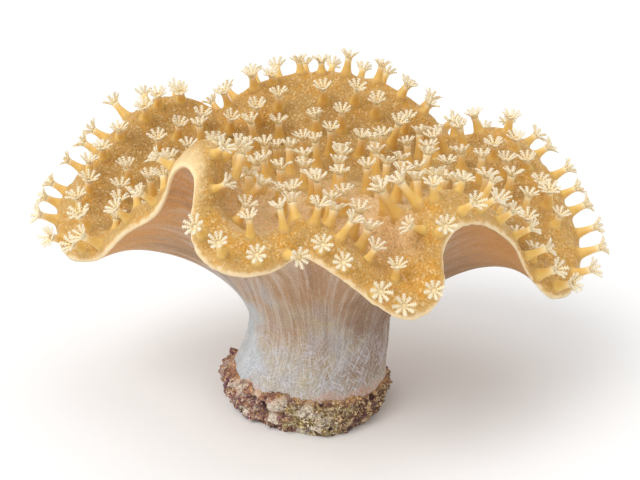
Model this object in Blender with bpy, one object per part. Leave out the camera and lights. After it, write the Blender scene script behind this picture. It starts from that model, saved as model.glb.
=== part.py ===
"""Toadstool leather coral: a ruffled, lobed cap on a short stalk, its top set with open polyps,
standing on the remnant of crusted rock that it grew on.

Blender units are metres; lengths below are in millimetres and are scaled where the meshes are made.
+Z is up and -Y is the front. The origin is the middle of the rock's flat, cut underside.
"""

import math
import random

import bmesh
import bpy
import numpy as np
from mathutils import Matrix, Vector

MM = 0.001
UP = np.array([0.0, 0.0, 1.0])

# Cap. Its points are taken from the cap's own axis, with heights from the resting face.
CAP_AXIS = (4.0, 0.0)  # the stalk leans this far to the right of the foot
SHEET_MIDDLE = 56.0  # height of the cap's lower sheet over the stalk
CAP_THICKNESS = 7.0
LIP_DEPTH = 9.0  # how far in from its edge the lip is rounded
LIP_RISE = 1.0  # how far the lip's crest stands over the dish behind it
LIP_CREST_WIDTH = 6.5
DISH_DEPTH = 5.0  # how far the cap is hollowed behind its lip
RIGHT_SIDE = (-14, 3)  # bearing in degrees of the cap's thin right side, and how narrow it is
FRONT_SIDE = (-90, 2)  # the same for the front
DISH_LESS_RIGHT, DISH_LESS_FRONT = 0.7, 0.35  # shares of the dish's depth that those two sides lack
DISH_START, DISH_SLOPE = 7.0, 14.0  # where the hollow begins and how wide its slope is
DISH_END, DISH_RETURN = 0.45, 0.4  # the same for its far side, as shares of the reach
EDGE_STEPS = 2048  # points in which the lip's edge is followed
SPAN_STEPS = 40  # points worked out between two of the given ones
FLAT_SHARE = 0.25  # share of the reach that is flat before the lobes lift or droop
FOLD_CALM = 0.055  # how much calmer the folds are in the middle, as a share of the way round
CALM_LEVELS, CALM_POWER = 13, 1.3  # copies of the edge from folded to calm, and how they are spaced
LEAN_CALM = 0.8  # how loosely the flesh's lean follows the folds
UPRIGHT_DEPTH = 12.0  # how far in the flesh stops standing square to the sheet
SHEET_STEP, SKIN_STEP = (6e-3, 0.01), (4e-3, 0.5)  # steps over which the two skins' slopes are taken
TURN_SETTLED = 0.6  # share of the reach at which the mesh's columns have turned to the folds' bearings

# The lip's lower edge, walked round from the right by the back, the left and the front.
LIP_EDGE = [
    (74.0, 6.0, 44.5),
    (72.5, 18.0, 51.0),
    (68.0, 32.0, 59.5),
    (60.0, 43.0, 65.0),
    (51.0, 49.0, 61.0),
    (45.0, 52.5, 60.0),
    (39.0, 56.0, 65.0),
    (25.0, 60.0, 75.0),
    (-6.0, 63.0, 80.0),
    (-23.0, 60.0, 76.0),
    (-36.0, 54.0, 69.0),
    (-44.0, 55.0, 72.0),
    (-55.0, 52.0, 73.0),
    (-62.0, 45.0, 69.0),
    (-70.0, 34.0, 60.0),
    (-76.0, 22.0, 53.0),
    (-76.0, 9.0, 48.0),
    (-70.0, -3.0, 43.4),
    (-62.0, -10.0, 45.0),
    (-51.0, -20.0, 56.0),
    (-41.7, -25.0, 63.3),
    (-38.5, -28.0, 69.7),
    (-37.2, -29.5, 73.5),
    (-34.5, -32.5, 77.2),
    (-32.0, -35.5, 77.8),
    (-30.2, -38.5, 76.0),
    (-30.4, -41.0, 70.6),
    (-30.6, -45.0, 64.2),
    (-29.3, -48.0, 60.9),
    (-26.3, -51.0, 58.6),
    (-18.8, -54.0, 56.5),
    (-11.0, -52.5, 57.2),
    (-5.0, -48.0, 59.0),
    (6.0, -50.0, 53.6),
    (14.0, -50.5, 47.6),
    (21.5, -50.5, 44.3),
    (27.0, -49.5, 47.0),
    (29.5, -47.5, 52.0),
    (29.4, -44.5, 59.0),
    (33.0, -40.0, 63.5),
    (38.7, -35.0, 63.3),
    (44.0, -30.0, 60.0),
    (50.0, -24.0, 54.0),
    (56.5, -18.5, 42.5),
    (62.5, -16.0, 36.6),
    (68.5, -11.0, 35.7),
    (72.5, -3.5, 39.5),
]

# Underside: two pulling points between the lip and the neck, and how they differ on two sides.
LEFT_SIDE = (200, 4)  # bearing and narrowness, as above
LEAVE_SHARE, LEAVE_SHARE_RIGHT = 0.62, 0.1  # where the lip's pull ends, as a share of the reach
LEAVE_DROP, LEAVE_LIFT_RIGHT, LEAVE_LIFT_LEFT = 1.0, 16.5, 6.0
FLARE, FLARE_LESS_RIGHT, FLARE_LESS_LEFT = 19.0, 17.5, 12.0  # how far the neck keeps upright

# Stalk
NECK_RADIUS = 20.0
NECK_HEIGHT = 26.0
FOOT_RADIUS = 24.3
FOOT_BOTTOM = 3.5
FOOT_ROUND = 4.0  # how far the foot's lower edge is tucked in
FOOT_ROUND_HEIGHT = 5.5
SPREAD_POWER = 1.6

# Polyps: rows from the lip inwards as (share of the reach, spacing, shortest, tallest, rise),
# where rise is how strongly polyps turn up from square to the skin.
POLYP_ROWS = [
    (0.02, 8.0, 6.0, 8.5, 0.05),
    (0.12, 8.2, 5.0, 8.0, 0.25),
    (0.24, 8.4, 6.5, 10.0, 0.5),
    (0.36, 8.6, 7.5, 11.5, 0.7),
    (0.49, 8.7, 8.0, 12.0, 0.7),
    (0.62, 8.7, 8.0, 12.0, 0.7),
    (0.76, 8.7, 8.0, 11.0, 0.7),
    (0.91, 9.0, 8.0, 10.0, 0.7),
]
POLYP_SEED = 33
POLYP_STRAY = 0.2  # how far one strays along its row, as a share of the spacing
ROW_STRAY = 0.022  # how far one strays off its row, as a share of the reach
POLYP_SWAY = 0.16
POLYP_SIDES = 4
ROW_STEPS = 1200  # steps in which a row's length is measured
EDGE_ROW = 0.1  # rows nearer the lip than this share of the reach keep closer to their line
BARE_FOLD, BARE_FOLD_BEND = 0.2, 4.6  # no polyps this near the lip, as a share, where it bends this hard
BARE_FLANK, BARE_FLANK_CLIMB = 0.1, 0.84  # the same where it climbs this steeply
CROWN_RADIUS = 2.9
COLUMN_RADIUS = 1.2
BASE_RADIUS = 1.8
BASE_SUNK = 1.2
NECK_SHARE = 0.7  # share of a polyp's height where its crown begins to spread
BEAD_SHARES = np.array([[0.0], [0.35], [0.7], [1.0]])
BEAD_ROOM = np.array([2.0, 1.35, 1.45, 2.9])  # half the room kept free at each of those shares

# Rock
ROCK_GAP = 0.35  # between the foot and the rock's hollow
ROCK_EXTRA = 0.25  # added to the gap at the wall, where facets cut corners
ROCK_SEED = 5
RIM_HEIGHT = 9.5
RIM_RIGHT, RIM_BACK, RIM_SIDES = -1.9, -0.5, 0.3  # the rim stands highest on the left
RIM_WAVES, RIM_WAVE_LEVEL = 0.55, 40.0  # height of the rim's waves, and where in the lumps they are read
ROCK_WAVES = (3, 5, 7, 9, 12)  # lumps in a turn round the rock
RIM_INSIDE = 0.8  # how far the hollow's wall stops under the rim
HOLLOW_BEND = 5.5  # height at which the hollow's wall turns upright
ROCK_PROFILE = [  # share of the rim's height, mean radius, roughness
    (1.0, 24.1, 0.1),
    (0.86, 24.8, 0.4),
    (0.52, 24.9, 0.5),
    (0.22, 23.9, 0.5),
    (0.0, 21.3, 0.45),
]
TOE = (285, 0.5, 4.7)  # bearing in degrees, width in radians, reach: the rock's foot at the front
KNOB = (184, 0.22, 1.3)  # the same for a knob under the rim on the left

# Mesh density
COLUMNS = 68
BEND_PULL, BEND_MOST = 1.2, 2.5  # how strongly the columns gather where the lip bends, and up to what bend
BEND_SPAN = 24  # steps of the edge over which a bend is measured
COLUMN_CALM = 0.004  # how evenly the columns' spacing changes, as a share of the way round
CAP_SHARES = (0.86, 0.66, 0.49, 0.35, 0.22, 0.1, 0.0)
LIP_ANGLES = (64, 40, 20)
UNDERSIDE_SHARES = (0.1, 0.26, 0.42, 0.6, 0.8, 1.0)
STALK_HEIGHTS = (16.0, 9.0, HOLLOW_BEND, FOOT_BOTTOM)
ROCK_COLUMNS = 32


def smooth(x):
    x = np.clip(x, 0, 1)
    return x * x * (3 - 2 * x)


def unit(vectors):
    return vectors / np.linalg.norm(vectors, axis=-1, keepdims=True)


def closed_curve(points):
    """Points at equal steps of length on a smooth closed curve through the given ones."""
    knots = np.array(points, float)
    ahead = np.roll(knots, -1, 0) - knots
    gap = np.linalg.norm(ahead, axis=1)[:, None]
    slope = ahead / gap
    gap_before, slope_before = np.roll(gap, 1, 0), np.roll(slope, 1, 0)
    tangent = (slope * gap_before + slope_before * gap) / (gap + gap_before)
    share = np.linspace(0, 1, SPAN_STEPS, endpoint=False)[None, :, None]
    start, end = knots[:, None], np.roll(knots, -1, 0)[:, None]
    leave, arrive = (tangent * gap)[:, None], (np.roll(tangent, -1, 0) * gap)[:, None]
    track = (
        start * (2 * share**3 - 3 * share**2 + 1)
        + end * (3 * share**2 - 2 * share**3)
        + leave * (share**3 - 2 * share**2 + share)
        + arrive * (share**3 - share**2)
    ).reshape(-1, 3)
    track = np.vstack([track, track[:1]])
    run = np.concatenate([[0], np.cumsum(np.linalg.norm(np.diff(track, axis=0), axis=1))])
    even = np.linspace(0, run[-1], EDGE_STEPS, endpoint=False)
    return np.stack([np.interp(even, run, track[:, axis]) for axis in range(3)], axis=1)


def calmed(track, spread):
    """A closed run of numbers smoothed over a share of the way round it."""
    count = len(track)
    waves = np.fft.rfftfreq(count, 1 / count)
    return np.fft.irfft(np.fft.rfft(track) * np.exp(-2 * (math.pi * spread * waves) ** 2), count)


EDGE_TRACK = closed_curve(LIP_EDGE)
EDGE_TURN = np.arange(EDGE_STEPS) / EDGE_STEPS * 2 * math.pi
EDGE_START = math.atan2(EDGE_TRACK[0, 1], EDGE_TRACK[0, 0])
EDGE_DRIFT = np.unwrap(np.arctan2(EDGE_TRACK[:, 1], EDGE_TRACK[:, 0])) - EDGE_START - EDGE_TURN
EDGE_REACH = np.hypot(EDGE_TRACK[:, 0], EDGE_TRACK[:, 1])
# The edge itself, then ever calmer copies of it towards the middle of the cap.
CALM_SPREADS = FOLD_CALM * np.linspace(0, 1, CALM_LEVELS) ** CALM_POWER
CALM_DRIFT = np.array([calmed(EDGE_DRIFT, spread) for spread in CALM_SPREADS])
CALM_REACH = np.array([calmed(EDGE_REACH, spread) for spread in CALM_SPREADS])
CALM_HEIGHT = np.array([calmed(EDGE_TRACK[:, 2], spread) for spread in CALM_SPREADS])
# How hard the edge bends, in millimetres over a short run of it.
EDGE_AHEAD, EDGE_BEHIND = np.roll(EDGE_TRACK, -BEND_SPAN, 0), np.roll(EDGE_TRACK, BEND_SPAN, 0)
EDGE_BEND = np.linalg.norm(EDGE_AHEAD + EDGE_BEHIND - 2 * EDGE_TRACK, axis=1)
EDGE_CLIMB = np.abs(unit(EDGE_AHEAD - EDGE_BEHIND)[:, 2])


def sampled(table, calm, around):
    """A value between the rows (by calm, 0 to 1) and the columns (by around) of a table."""
    row = np.clip(calm + 0 * around, 0, 1) * (len(table) - 1)
    low = np.minimum(row.astype(int), len(table) - 2)
    place = (around % 1) * EDGE_STEPS
    left = place.astype(int) % EDGE_STEPS
    right = (left + 1) % EDGE_STEPS
    across, down = place - np.floor(place), row - low
    upper = table[low, left] * (1 - across) + table[low, right] * across
    lower = table[low + 1, left] * (1 - across) + table[low + 1, right] * across
    return upper * (1 - down) + lower * down


def even_angle(around):
    """The bearing of an evenly divided round stalk, at a share of the way round."""
    return EDGE_START + 2 * math.pi * around


def edge_at(around, calm):
    """(bearing, reach, height) of the lip's lower edge, at a share of the way round it."""
    bearing = even_angle(around) + sampled(CALM_DRIFT, calm, around)
    return bearing, sampled(CALM_REACH, calm, around), sampled(CALM_HEIGHT, calm, around)


def reach_at(around):
    """How far the lip's lower edge is from the cap's axis."""
    return sampled(CALM_REACH, 0.0, around)


def lower_sheet(around, out, calmer=0.0):
    """The sheet that the cap's flesh lies on: out is 0 over the stalk and 1 at the lip's edge."""
    bearing, reach, height = edge_at(around, 1 - out + calmer)
    turn = even_angle(around) + (bearing - even_angle(around)) * smooth(out / TURN_SETTLED)
    lift = smooth((out - FLAT_SHARE) / (1 - FLAT_SHARE))
    z = SHEET_MIDDLE + (height - SHEET_MIDDLE) * lift
    return np.stack([reach * out * np.cos(turn), reach * out * np.sin(turn), z], axis=-1)


def sheet_normal(around, out):
    """Unit normal of the cap's lower sheet, pointing up; it follows the folds only loosely."""
    turn, step = SHEET_STEP
    along = lower_sheet(around + turn, out, LEAN_CALM) - lower_sheet(around - turn, out, LEAN_CALM)
    outward = lower_sheet(around, out + step, LEAN_CALM) - lower_sheet(around, out - step, LEAN_CALM)
    return unit(np.cross(outward, along))


def towards(around, side):
    """1 towards one side of the cap, falling to 0 on the far side."""
    bearing, power = side
    return ((1 + np.cos(even_angle(around) - math.radians(bearing))) / 2) ** power


def dish(around, inward):
    """How far the cap is hollowed behind its lip."""
    start = smooth((inward - DISH_START) / DISH_SLOPE)
    end = smooth((inward / reach_at(around) - DISH_END) / DISH_RETURN)
    share = 1 - DISH_LESS_RIGHT * towards(around, RIGHT_SIDE)
    share -= DISH_LESS_FRONT * towards(around, FRONT_SIDE)
    return DISH_DEPTH * share * start * (1 - end)


def cap_skin(around, inward):
    """The cap's upper skin, inward mm from the lip's edge towards the middle."""
    out = 1 - inward / reach_at(around)
    roll = 1 - np.clip(inward / LIP_DEPTH, 0, 1)
    crest = LIP_RISE * np.exp(-(((inward - LIP_DEPTH) / LIP_CREST_WIDTH) ** 2))
    thick = (CAP_THICKNESS + crest) * np.sqrt(1 - roll**2)
    upright = smooth(inward / UPRIGHT_DEPTH)[..., None]
    lean = unit(sheet_normal(around, out) * (1 - upright) + UP * upright)
    skin = lower_sheet(around, out) + lean * thick[..., None]
    return skin - UP * dish(around, inward)[..., None]


def skin_normal(around, inward):
    """Unit normal of the cap's upper skin, pointing out of the flesh."""
    turn, step = SKIN_STEP
    along = cap_skin(around + turn, inward) - cap_skin(around - turn, inward)
    outward = cap_skin(around, inward - step) - cap_skin(around, inward + step)
    return unit(np.cross(outward, along))


def stalk_at(angle, z):
    """The stalk's skin: a neck that spreads into the foot below it."""
    down = np.clip((NECK_HEIGHT - z) / (NECK_HEIGHT - FOOT_BOTTOM), 0, 1)
    tuck = np.clip(1 - (z - FOOT_BOTTOM) / FOOT_ROUND_HEIGHT, 0, 1) ** 2
    radius = NECK_RADIUS + (FOOT_RADIUS - NECK_RADIUS) * down**SPREAD_POWER - FOOT_ROUND * tuck
    shift = -CAP_AXIS[0] * smooth(down)
    return np.stack([shift + radius * np.cos(angle), radius * np.sin(angle), z + 0 * angle], axis=-1)


def underside(around, inward):
    """From the lip's edge (0) under the cap to the neck (1)."""
    right, left = towards(around, RIGHT_SIDE), towards(around, LEFT_SIDE)
    start = lower_sheet(around, np.ones_like(around))
    leave = lower_sheet(around, LEAVE_SHARE + LEAVE_SHARE_RIGHT * right)
    leave[..., 2] += LEAVE_LIFT_RIGHT * right + LEAVE_LIFT_LEFT * left - LEAVE_DROP
    neck = stalk_at(even_angle(around), np.full_like(around, NECK_HEIGHT))
    arrive = neck.copy()
    arrive[..., 2] += FLARE - FLARE_LESS_RIGHT * right - FLARE_LESS_LEFT * left
    rest = 1 - inward
    pull = 3 * leave * inward * rest**2 + 3 * arrive * inward**2 * rest
    return start * rest**3 + pull + neck * inward**3


def column_places():
    """Shares of the way round for the columns of the mesh, closer together where the lip bends."""
    weight = calmed(1 + BEND_PULL * np.minimum(EDGE_BEND, BEND_MOST), COLUMN_CALM)
    run = np.concatenate([[0], np.cumsum(weight)])
    places = np.arange(COLUMNS) / COLUMNS * run[-1]
    return np.interp(places, run, np.arange(EDGE_STEPS + 1) / EDGE_STEPS)


def colony_rows():
    """Rows of points down the colony: cap, lip, underside, stalk and foot, and its two middles."""
    around = column_places()
    inner = reach_at(around) - LIP_DEPTH
    rows = [cap_skin(around, LIP_DEPTH + inner * share) for share in CAP_SHARES]
    for angle in LIP_ANGLES:
        inward = LIP_DEPTH * (1 - math.cos(math.radians(angle)))
        rows.append(cap_skin(around, np.full(COLUMNS, inward)))
    rows.append(lower_sheet(around, np.ones(COLUMNS)))
    rows += [underside(around, share) for share in UNDERSIDE_SHARES]
    rows += [stalk_at(even_angle(around), np.full(COLUMNS, height)) for height in STALK_HEIGHTS]
    top = np.array([0.0, 0.0, SHEET_MIDDLE + CAP_THICKNESS])
    bottom = np.array([-CAP_AXIS[0], 0.0, FOOT_BOTTOM])
    return top, rows, bottom


def polyps():
    """(base, direction, height, turn) of every polyp, row by row from the lip inwards."""
    dice = random.Random(POLYP_SEED)
    fine = np.arange(ROW_STEPS) / ROW_STEPS
    placed = []
    taken = []
    for number, (share, spacing, shortest, tallest, rise) in enumerate(POLYP_ROWS):
        row = cap_skin(fine, share * reach_at(fine))
        run = np.cumsum(np.linalg.norm(np.roll(row, -1, 0) - row, axis=1))
        count = round(run[-1] / spacing)
        off_row = ROW_STRAY * min(1, share / EDGE_ROW)
        for step in range(count):
            along = (step + 0.5 * (number % 2) + dice.uniform(-POLYP_STRAY, POLYP_STRAY)) / count
            around = np.array([np.interp(along % 1 * run[-1], run, fine)])
            inward = (share + dice.uniform(-off_row, off_row)) * reach_at(around)
            edge = int(around[0] * EDGE_STEPS)
            bare = share < BARE_FOLD and EDGE_BEND[edge] > BARE_FOLD_BEND
            bare |= share < BARE_FLANK and EDGE_CLIMB[edge] > BARE_FLANK_CLIMB
            base = cap_skin(around, inward)[0]
            sway = [dice.uniform(-POLYP_SWAY, POLYP_SWAY), dice.uniform(-POLYP_SWAY, POLYP_SWAY), 0]
            direction = unit(skin_normal(around, inward)[0] + rise * UP + sway)
            height = dice.uniform(shortest, tallest)
            turn = dice.uniform(0, 2 * math.pi)
            if bare:
                continue
            beads = base + direction * height * BEAD_SHARES
            if taken:
                apart = np.linalg.norm(beads[:, None, None] - np.array(taken), axis=-1)
                if (apart < BEAD_ROOM[:, None, None] + BEAD_ROOM).any():
                    continue
            taken.append(beads)
            placed.append((base, direction, height, turn))
    return placed


def add_polyp(bm, base, direction, height, turn):
    """One closed polyp: a foot sunk in the skin, a slim column and a spread crown."""
    tilt = Vector(direction).to_track_quat("Z", "Y").to_matrix().to_4x4()
    spot = Vector((base[0] + CAP_AXIS[0], base[1] + CAP_AXIS[1], base[2]))
    place = Matrix.Scale(MM, 4) @ Matrix.Translation(spot) @ tilt @ Matrix.Rotation(turn, 4, "Z")
    neck = height * NECK_SHARE
    column = bmesh.ops.create_cone(
        bm,
        cap_ends=True,
        segments=POLYP_SIDES,
        radius1=BASE_RADIUS,
        radius2=COLUMN_RADIUS,
        depth=neck + BASE_SUNK,
        matrix=place @ Matrix.Translation((0, 0, (neck - BASE_SUNK) / 2)),
    )
    corners = sorted(column["verts"], key=lambda corner: (place.inverted() @ corner.co).z)
    top = next(face for face in bm.faces if set(face.verts) == set(corners[POLYP_SIDES:]))
    grown = bmesh.ops.extrude_face_region(bm, geom=[top])
    bmesh.ops.delete(bm, geom=[top], context="FACES_ONLY")
    crown = [item for item in grown["geom"] if isinstance(item, bmesh.types.BMVert)]
    spread = CROWN_RADIUS / COLUMN_RADIUS
    neck_frame = (place @ Matrix.Translation((0, 0, neck))).inverted()
    bmesh.ops.scale(bm, vec=(spread, spread, 1.0), space=neck_frame, verts=crown)
    bmesh.ops.translate(bm, vec=Vector(direction) * (height - neck) * MM, verts=crown)


def polyp_crowd(collection):
    """All polyps as one object, which the colony takes in with a union."""
    bm = bmesh.new()
    for polyp in polyps():
        add_polyp(bm, *polyp)
    bmesh.ops.recalc_face_normals(bm, faces=bm.faces)
    crowd = bpy.data.objects.new("polyps", bpy.data.meshes.new("polyps"))
    bm.to_mesh(crowd.data)
    bm.free()
    collection.objects.link(crowd)
    crowd.display_type = "WIRE"
    crowd.hide_render = True
    return crowd


def rock_lumps(angle, height):
    """How far the crust stands out or in from its mean skin, from about -2 to 2."""
    dice = random.Random(ROCK_SEED)
    swell = np.zeros_like(angle)
    for waves in ROCK_WAVES:
        phase, climb = dice.uniform(0, 2 * math.pi), dice.uniform(-0.5, 0.5)
        swell = swell + np.sin(waves * angle + phase + climb * height) / waves**0.5
    return swell


def bump_at(angle, bump):
    """A single rounded bump on a ring: its bearing, width and height."""
    bearing, width, height = bump
    return height * np.exp(-(((angle - math.radians(bearing)) / width) ** 2))


def rock_rows():
    """Rows of points over the rock: its hollow, the rim and the outside, and its two middles."""
    angle = np.arange(ROCK_COLUMNS) / ROCK_COLUMNS * 2 * math.pi
    ray = np.stack([np.cos(angle), np.sin(angle), 0 * angle], axis=-1)
    centre = np.array([-CAP_AXIS[0], 0.0, 0.0])
    rim = RIM_HEIGHT + RIM_RIGHT * np.cos(angle) + RIM_BACK * np.sin(angle)
    rim += RIM_SIDES * np.cos(2 * angle) + RIM_WAVES * rock_lumps(angle, RIM_WAVE_LEVEL)
    rows = []
    for low, share in ((FOOT_BOTTOM, 0.0), (HOLLOW_BEND, 0.0), (HOLLOW_BEND, 0.5), (HOLLOW_BEND, 1.0)):
        height = low + (rim - RIM_INSIDE - low) * share
        wall = stalk_at(angle, height) + ray * (ROCK_GAP + ROCK_EXTRA)
        wall[:, 2] -= ROCK_GAP * (1 - share)
        rows.append(wall)
    for share, radius, roughness in ROCK_PROFILE:
        height = rim * share
        reach = radius + roughness * rock_lumps(angle, height)
        reach += bump_at(angle, TOE) * (1 - share) + bump_at(angle, KNOB) * share**3
        rows.append(centre + ray * reach[:, None] + UP * height[:, None])
    return centre + UP * (FOOT_BOTTOM - ROCK_GAP), rows, centre


def moulded(name, collection, top, rows, bottom):
    """A UV sphere whose poles and parallels are moved onto the given points and rows of points."""
    columns = len(rows[0])
    bm = bmesh.new()
    bmesh.ops.create_uvsphere(bm, u_segments=columns, v_segments=len(rows) + 1, radius=1.0)
    shift = np.array([*CAP_AXIS, 0.0])
    for vertex in bm.verts:
        x, y, z = vertex.co
        row = round(math.acos(max(-1, min(1, z))) / math.pi * (len(rows) + 1)) - 1
        if row < 0:
            spot = top
        elif row >= len(rows):
            spot = bottom
        else:
            spot = rows[row][round(math.atan2(y, x) / (2 * math.pi) * columns) % columns]
        vertex.co = (spot + shift) * MM
    bmesh.ops.recalc_face_normals(bm, faces=bm.faces)
    piece = bpy.data.objects.new(name, bpy.data.meshes.new(name))
    bm.to_mesh(piece.data)
    bm.free()
    collection.objects.link(piece)
    return piece


def coated(piece, colour, roughness):
    """The piece's own matte material, and rounded shading."""
    material = bpy.data.materials.new(piece.name)
    material.use_nodes = True
    shader = material.node_tree.nodes["Principled BSDF"]
    shader.inputs["Base Color"].default_value = (*colour, 1.0)
    shader.inputs["Roughness"].default_value = roughness
    shader.inputs["Metallic"].default_value = 0.0
    piece.data.materials.append(material)
    piece.data.shade_smooth()
    piece.data.set_sharp_from_angle(angle=math.radians(50))


def build():
    for old in list(bpy.data.objects):
        bpy.data.objects.remove(old)
    coral = bpy.data.collections.new("toadstool_leather_coral")
    additions = bpy.data.collections.new("additions")
    for collection in (coral, additions):
        bpy.context.scene.collection.children.link(collection)

    colony = moulded("colony", coral, *colony_rows())
    union = colony.modifiers.new("polyps", "BOOLEAN")
    union.operation = "UNION"
    union.solver = "EXACT"
    union.object = polyp_crowd(additions)
    coated(colony, (0.62, 0.42, 0.19), 0.6)

    rock = moulded("rock_base", coral, *rock_rows())
    coated(rock, (0.25, 0.17, 0.16), 0.85)


build()
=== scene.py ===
"""Looks of the toadstool leather coral: grained skin, feathered polyps, wrinkled stalk and crusted rock.

Shapes are worked out in millimetres, with heights from the resting face, and made in metres.
"""

import math
import random

import bmesh
import bpy
import numpy as np
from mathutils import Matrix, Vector
from mathutils.bvhtree import BVHTree


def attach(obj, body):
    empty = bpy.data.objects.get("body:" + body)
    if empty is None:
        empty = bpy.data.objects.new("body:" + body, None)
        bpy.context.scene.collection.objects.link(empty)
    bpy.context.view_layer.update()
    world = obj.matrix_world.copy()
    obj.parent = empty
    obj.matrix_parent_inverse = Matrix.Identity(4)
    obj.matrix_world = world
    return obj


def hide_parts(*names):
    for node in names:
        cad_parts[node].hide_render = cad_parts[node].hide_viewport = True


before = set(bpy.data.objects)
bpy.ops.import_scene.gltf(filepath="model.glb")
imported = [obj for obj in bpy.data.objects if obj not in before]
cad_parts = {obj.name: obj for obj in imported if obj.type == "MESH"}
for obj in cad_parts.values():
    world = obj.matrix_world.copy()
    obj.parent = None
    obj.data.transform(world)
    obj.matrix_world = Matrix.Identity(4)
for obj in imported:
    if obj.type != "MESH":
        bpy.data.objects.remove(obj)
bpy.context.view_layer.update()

MM = 0.001
UP = np.array([0.0, 0.0, 1.0])

# ---------------- form, as in the part's source
CAP_AXIS = (4.0, 0.0)  # the cap's own axis, which its points are taken from
SHEET_MIDDLE = 56.0
CAP_THICKNESS = 7.0
LIP_DEPTH = 9.0
LIP_RISE = 1.0
LIP_CREST_WIDTH = 6.5
DISH_DEPTH = 5.0
RIGHT_SIDE = (-14, 3)
FRONT_SIDE = (-90, 2)
DISH_LESS_RIGHT, DISH_LESS_FRONT = 0.7, 0.35
DISH_START, DISH_SLOPE = 7.0, 14.0
DISH_END, DISH_RETURN = 0.45, 0.4
EDGE_STEPS = 2048  # points in which the lip's edge is followed
SPAN_STEPS = 40  # and those between two given ones
FLAT_SHARE = 0.25
FOLD_CALM = 0.055
CALM_LEVELS, CALM_POWER = 13, 1.3  # copies of the edge, from folded to calm
LEAN_CALM = 0.8
UPRIGHT_DEPTH = 12.0
SHEET_STEP, SKIN_STEP = (6e-3, 0.01), (4e-3, 0.5)  # steps over which the two skins' slopes are taken
TURN_SETTLED = 0.6

# The lip's lower edge, walked round from the right by the back, the left and the front.
LIP_EDGE = [
    (74, 6, 44.5), (72.5, 18, 51), (68, 32, 59.5), (60, 43, 65), (51, 49, 61),
    (45, 52.5, 60), (39, 56, 65), (25, 60, 75), (-6, 63, 80), (-23, 60, 76),
    (-36, 54, 69), (-44, 55, 72), (-55, 52, 73), (-62, 45, 69), (-70, 34, 60),
    (-76, 22, 53), (-76, 9, 48), (-70, -3, 43.4), (-62, -10, 45), (-51, -20, 56),
    (-41.7, -25, 63.3), (-38.5, -28, 69.7), (-37.2, -29.5, 73.5), (-34.5, -32.5, 77.2), (-32, -35.5, 77.8),
    (-30.2, -38.5, 76), (-30.4, -41, 70.6), (-30.6, -45, 64.2), (-29.3, -48, 60.9), (-26.3, -51, 58.6),
    (-18.8, -54, 56.5), (-11, -52.5, 57.2), (-5, -48, 59), (6, -50, 53.6), (14, -50.5, 47.6),
    (21.5, -50.5, 44.3), (27, -49.5, 47), (29.5, -47.5, 52), (29.4, -44.5, 59), (33, -40, 63.5),
    (38.7, -35, 63.3), (44, -30, 60), (50, -24, 54), (56.5, -18.5, 42.5), (62.5, -16, 36.6),
    (68.5, -11, 35.7), (72.5, -3.5, 39.5),
]

LEFT_SIDE = (200, 4)
LEAVE_SHARE, LEAVE_SHARE_RIGHT = 0.62, 0.1
LEAVE_DROP, LEAVE_LIFT_RIGHT, LEAVE_LIFT_LEFT = 1.0, 16.5, 6.0
FLARE, FLARE_LESS_RIGHT, FLARE_LESS_LEFT = 19.0, 17.5, 12.0

NECK_RADIUS = 20.0
NECK_HEIGHT = 26.0
FOOT_RADIUS = 24.3
FOOT_BOTTOM = 3.5
FOOT_ROUND = 4.0
FOOT_ROUND_HEIGHT = 5.5
SPREAD_POWER = 1.6

POLYP_ROWS = [  # share of the reach, spacing, shortest, tallest, and how strongly polyps turn up
    (0.02, 8.0, 6.0, 8.5, 0.05), (0.12, 8.2, 5.0, 8.0, 0.25),
    (0.24, 8.4, 6.5, 10.0, 0.5), (0.36, 8.6, 7.5, 11.5, 0.7),
    (0.49, 8.7, 8.0, 12.0, 0.7), (0.62, 8.7, 8.0, 12.0, 0.7),
    (0.76, 8.7, 8.0, 11.0, 0.7), (0.91, 9.0, 8.0, 10.0, 0.7),
]
POLYP_SEED = 33
POLYP_STRAY = 0.2
ROW_STRAY = 0.022
POLYP_SWAY = 0.16
ROW_STEPS = 1200
EDGE_ROW = 0.1
BARE_FOLD, BARE_FOLD_BEND = 0.2, 4.6
BARE_FLANK, BARE_FLANK_CLIMB = 0.1, 0.84
BEND_PULL, BEND_MOST = 1.2, 2.5
BEND_SPAN = 24  # steps of the edge over which a bend is measured
COLUMN_CALM = 0.004
BEAD_SHARES = np.array([[0.0], [0.35], [0.7], [1.0]])
BEAD_ROOM = np.array([2.0, 1.35, 1.45, 2.9])

ROCK_SEED = 5
RIM_HEIGHT = 9.5
RIM_RIGHT, RIM_BACK, RIM_SIDES = -1.9, -0.5, 0.3
RIM_WAVES, RIM_WAVE_LEVEL = 0.55, 40.0
ROCK_WAVES = (3, 5, 7, 9, 12)
ROCK_PROFILE = [  # share of the rim's height, mean radius, roughness
    (1.0, 24.1, 0.1), (0.86, 24.8, 0.4), (0.52, 24.9, 0.5), (0.22, 23.9, 0.5), (0.0, 21.3, 0.45),
]
TOE = (285, 0.5, 4.7)  # bearing in degrees, width in radians, reach
KNOB = (184, 0.22, 1.3)

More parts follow.
